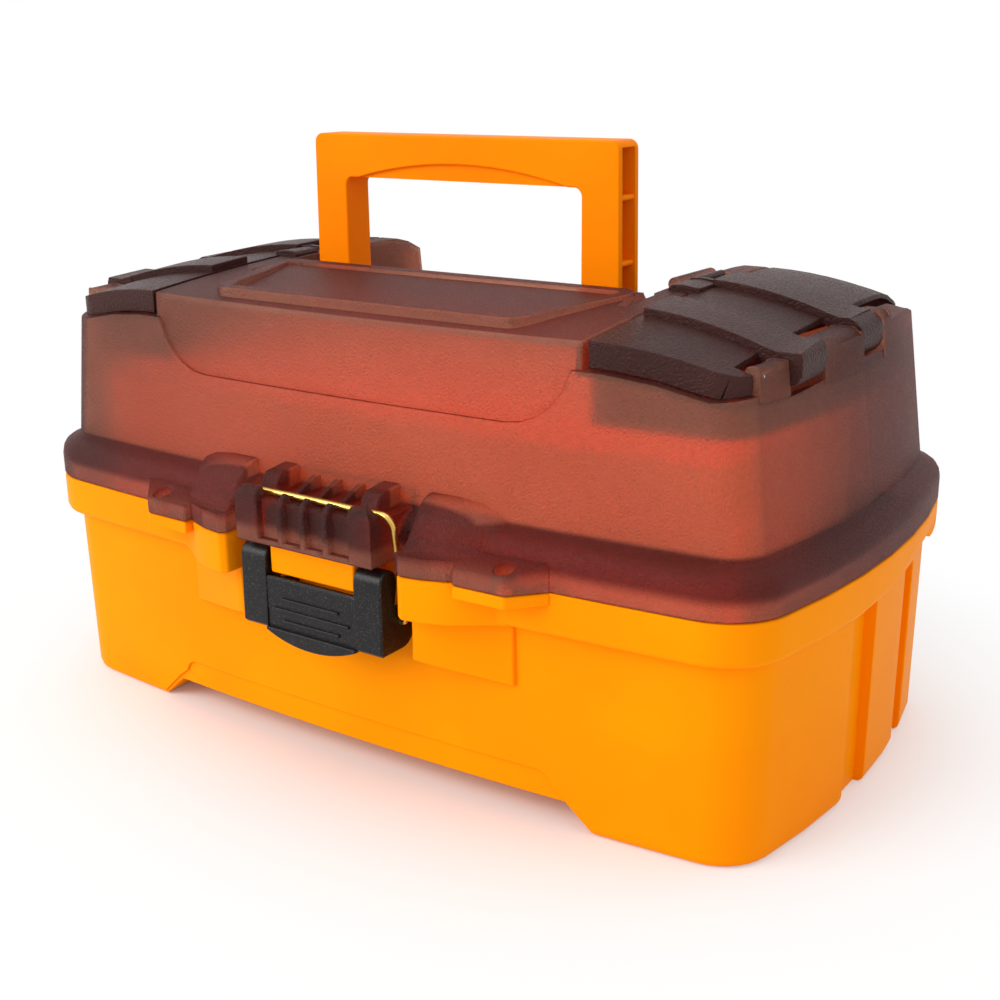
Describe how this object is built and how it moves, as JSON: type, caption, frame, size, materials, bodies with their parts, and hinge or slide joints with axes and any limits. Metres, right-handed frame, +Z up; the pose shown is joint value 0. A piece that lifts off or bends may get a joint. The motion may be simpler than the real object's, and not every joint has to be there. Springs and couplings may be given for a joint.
{
  "type": "tackle box",
  "caption": "Portable tackle box: bowed tub, smoke lid, draw latch, folding carry handle, two hinged top doors and cantilever trays that rise level as the lid opens.",
  "frame": {"origin": "centre of the footprint, on the plane that the foot rests on", "axes": "+X to the right end seen from the latch side, +Y to the back, +Z up"},
  "size_m": [0.413, 0.2499, 0.271],
  "materials": {
    "orange_case": "opaque moulded plastic with a fine matt texture",
    "orange_handle": "opaque moulded plastic with a fine matt texture",
    "orange_tray": "opaque moulded plastic",
    "orange_divider": "opaque moulded plastic",
    "smoke_lid": "smoke-tinted clear plastic with a leather grain",
    "smoke_door": "dark smoke-tinted plastic with a leather grain",
    "smoke_divider": "smoke-tinted clear plastic",
    "black_lever": "black plastic with a sparkle texture",
    "dark_arm": "dark moulded plastic",
    "brass_wire": "drawn wire",
    "steel_pin": "drawn and cut"
  },
  "bodies": {
    "base": {"base_tub": "orange_case", "base_arm_pins": "steel_pin", "lid_hinge_pins": "steel_pin", "latch_hinge_pin": "steel_pin"},
    "lid": {"lid_shell": "smoke_lid", "lid_link_pins": "steel_pin", "handle_pivot_pins": "steel_pin", "left_door_pins": "steel_pin", "right_door_pins": "steel_pin", "top_bin_dividers": "smoke_divider"},
    "rear_arms": {"left_rear_arm": "dark_arm", "right_rear_arm": "dark_arm"},
    "front_arms": {"left_front_arm": "dark_arm", "right_front_arm": "dark_arm"},
    "lid_links": {"left_lid_link": "dark_arm", "right_lid_link": "dark_arm"},
    "upper_tray": {"upper_tray": "orange_tray", "upper_tray_rivets": "steel_pin", "upper_tray_dividers": "orange_divider"},
    "lower_tray": {"lower_tray": "orange_tray", "lower_tray_rivets": "steel_pin", "lower_tray_dividers": "orange_divider"},
    "latch_lever": {"latch_lever": "black_lever"},
    "latch_bail": {"latch_bail": "brass_wire"},
    "carry_handle": {"carry_handle": "orange_handle"},
    "left_door": {"left_top_door": "smoke_door"},
    "right_door": {"right_top_door": "smoke_door"}
  },
  "joints": [
    {"name": "lid_hinge", "type": "hinge", "parent": "base", "child": "lid", "pos_m": [0, 0.1125, 0.107], "axis": [-1, 0, 0], "range_deg": [0, 95]},
    {"name": "rear_arm_swing", "type": "hinge", "parent": "base", "child": "rear_arms", "pos_m": [0, 0.076, 0.098], "axis": [-1, 0, 0], "range_deg": [0, 95]},
    {"name": "front_arm_swing", "type": "hinge", "parent": "base", "child": "front_arms", "pos_m": [0, 0.024, 0.078], "axis": [-1, 0, 0], "range_deg": [0, 95]},
    {"name": "upper_tray_level", "type": "hinge", "parent": "rear_arms", "child": "upper_tray", "pos_m": [0, -0.01907, 0.11136], "axis": [-1, 0, 0], "range_deg": [-95, 0]},
    {"name": "lower_tray_level", "type": "hinge", "parent": "rear_arms", "child": "lower_tray", "pos_m": [0, 0.02847, 0.10468], "axis": [-1, 0, 0], "range_deg": [-95, 0]},
    {"name": "lid_link_swing", "type": "hinge", "parent": "lid", "child": "lid_links", "pos_m": [0, 0.01743, 0.12036], "axis": [-1, 0, 0], "range_deg": [-95, 0]},
    {"name": "latch_swing", "type": "hinge", "parent": "base", "child": "latch_lever", "pos_m": [0, -0.1235, 0.099], "axis": [-1, 0, 0], "range_deg": [0, 90]},
    {"name": "bail_swing", "type": "hinge", "parent": "latch_lever", "child": "latch_bail", "pos_m": [0, -0.118, 0.0808], "axis": [1, 0, 0], "range_deg": [0, 55.8]},
    {"name": "handle_fold", "type": "hinge", "parent": "lid", "child": "carry_handle", "pos_m": [0, -0.0095, 0.195], "axis": [-1, 0, 0], "range_deg": [0, 90]},
    {"name": "left_door_hinge", "type": "hinge", "parent": "lid", "child": "left_door", "pos_m": [-0.1794, 0, 0.1936], "axis": [0, -1, 0], "range_deg": [0, 110]},
    {"name": "right_door_hinge", "type": "hinge", "parent": "lid", "child": "right_door", "pos_m": [0.1794, 0, 0.1936], "axis": [0, 1, 0], "range_deg": [0, 110]}
  ],
  "couplings": [
    {"joint": "rear_arm_swing", "follows": "lid_hinge", "ratio": 1},
    {"joint": "front_arm_swing", "follows": "lid_hinge", "ratio": 1},
    {"joint": "upper_tray_level", "follows": "lid_hinge", "ratio": -1},
    {"joint": "lower_tray_level", "follows": "lid_hinge", "ratio": -1},
    {"joint": "lid_link_swing", "follows": "lid_hinge", "ratio": -1},
    {"joint": "bail_swing", "follows": "latch_swing", "ratio": 0.62}
  ]
}
